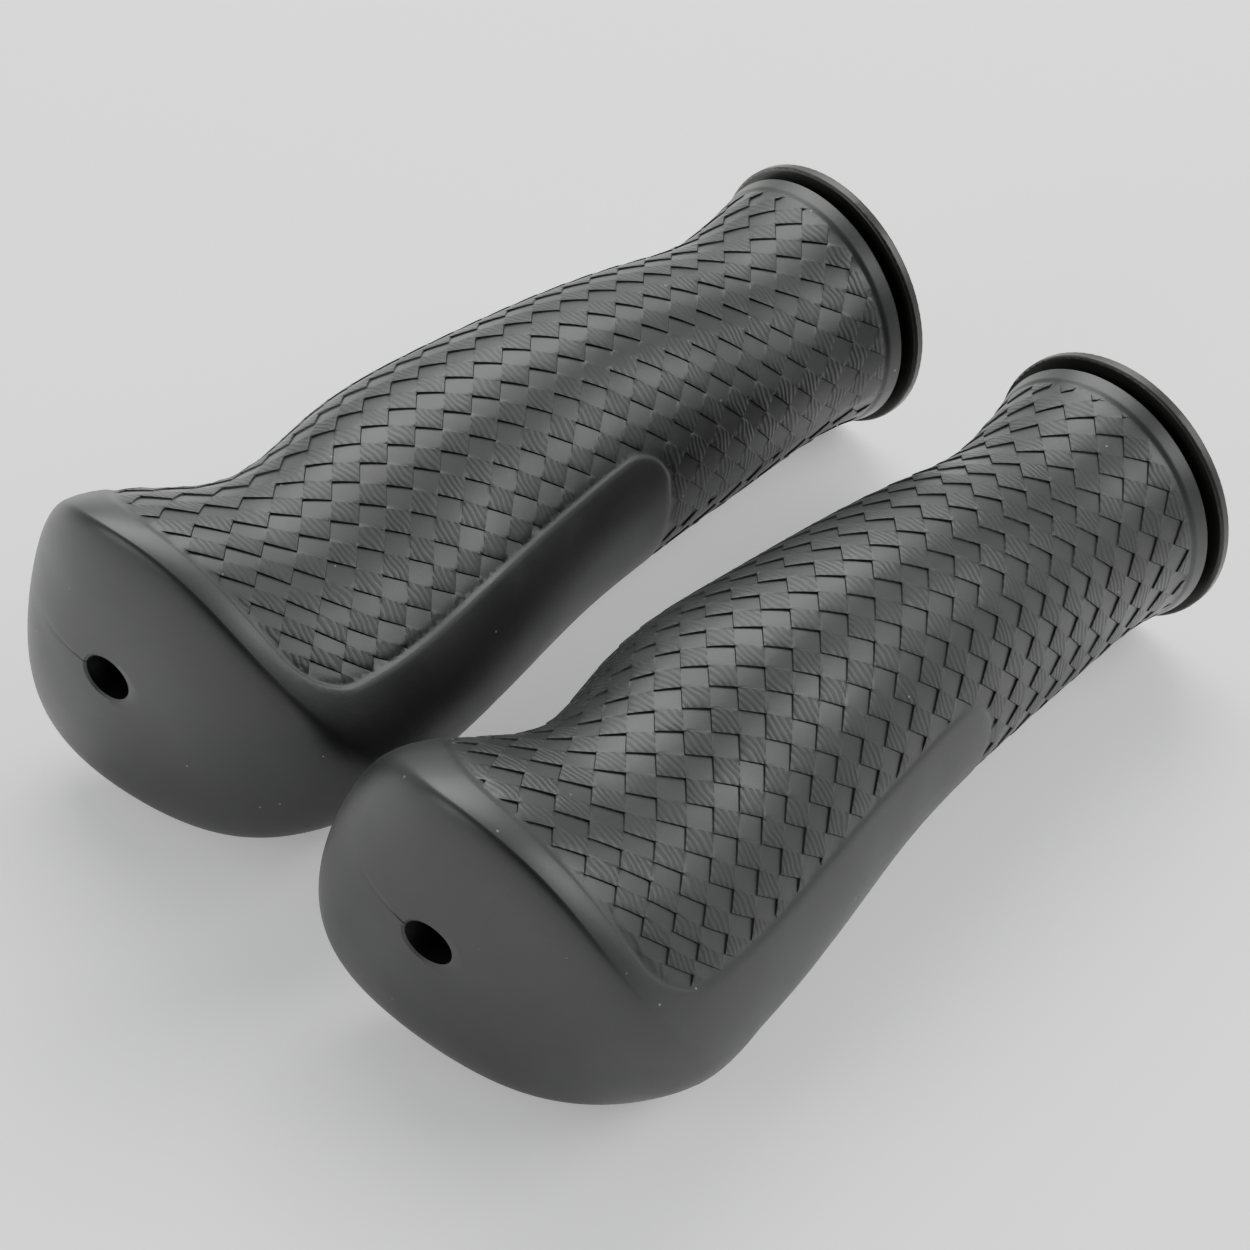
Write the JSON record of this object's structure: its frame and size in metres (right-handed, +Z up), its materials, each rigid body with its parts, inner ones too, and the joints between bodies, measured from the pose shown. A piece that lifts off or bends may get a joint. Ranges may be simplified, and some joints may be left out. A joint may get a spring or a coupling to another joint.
{
  "type": "handlebar grips",
  "caption": "Pair of ergonomic slip-on handlebar grips: woven-texture rubber covers with a flared, closed outboard end, each moulded over a hard core sleeve with a round inboard flange.",
  "frame": {"origin": "on the table, under the middle of the pair's bounding box", "axes": "+X runs along the grips from the closed outboard ends to the inboard mouths, +Y from the front grip to the rear grip, +Z up"},
  "size_m": [0.1262, 0.1088, 0.0473],
  "materials": {
    "grip_rubber": "moulded soft rubber with a semi-matt skin, basket-weave relief and smooth heel",
    "sleeve_plastic": "moulded polypropylene, fine satin"
  },
  "bodies": {
    "rear_grip": {"rear_grip_cover": "grip_rubber", "rear_core_sleeve": "sleeve_plastic"},
    "front_grip": {"front_grip_cover": "grip_rubber", "front_core_sleeve": "sleeve_plastic"}
  },
  "joints": [
    {"name": "front_grip_lift", "type": "slide", "parent": "rear_grip", "child": "front_grip", "axis": [0, 0, 1], "range_m": [0, 0.1]}
  ]
}
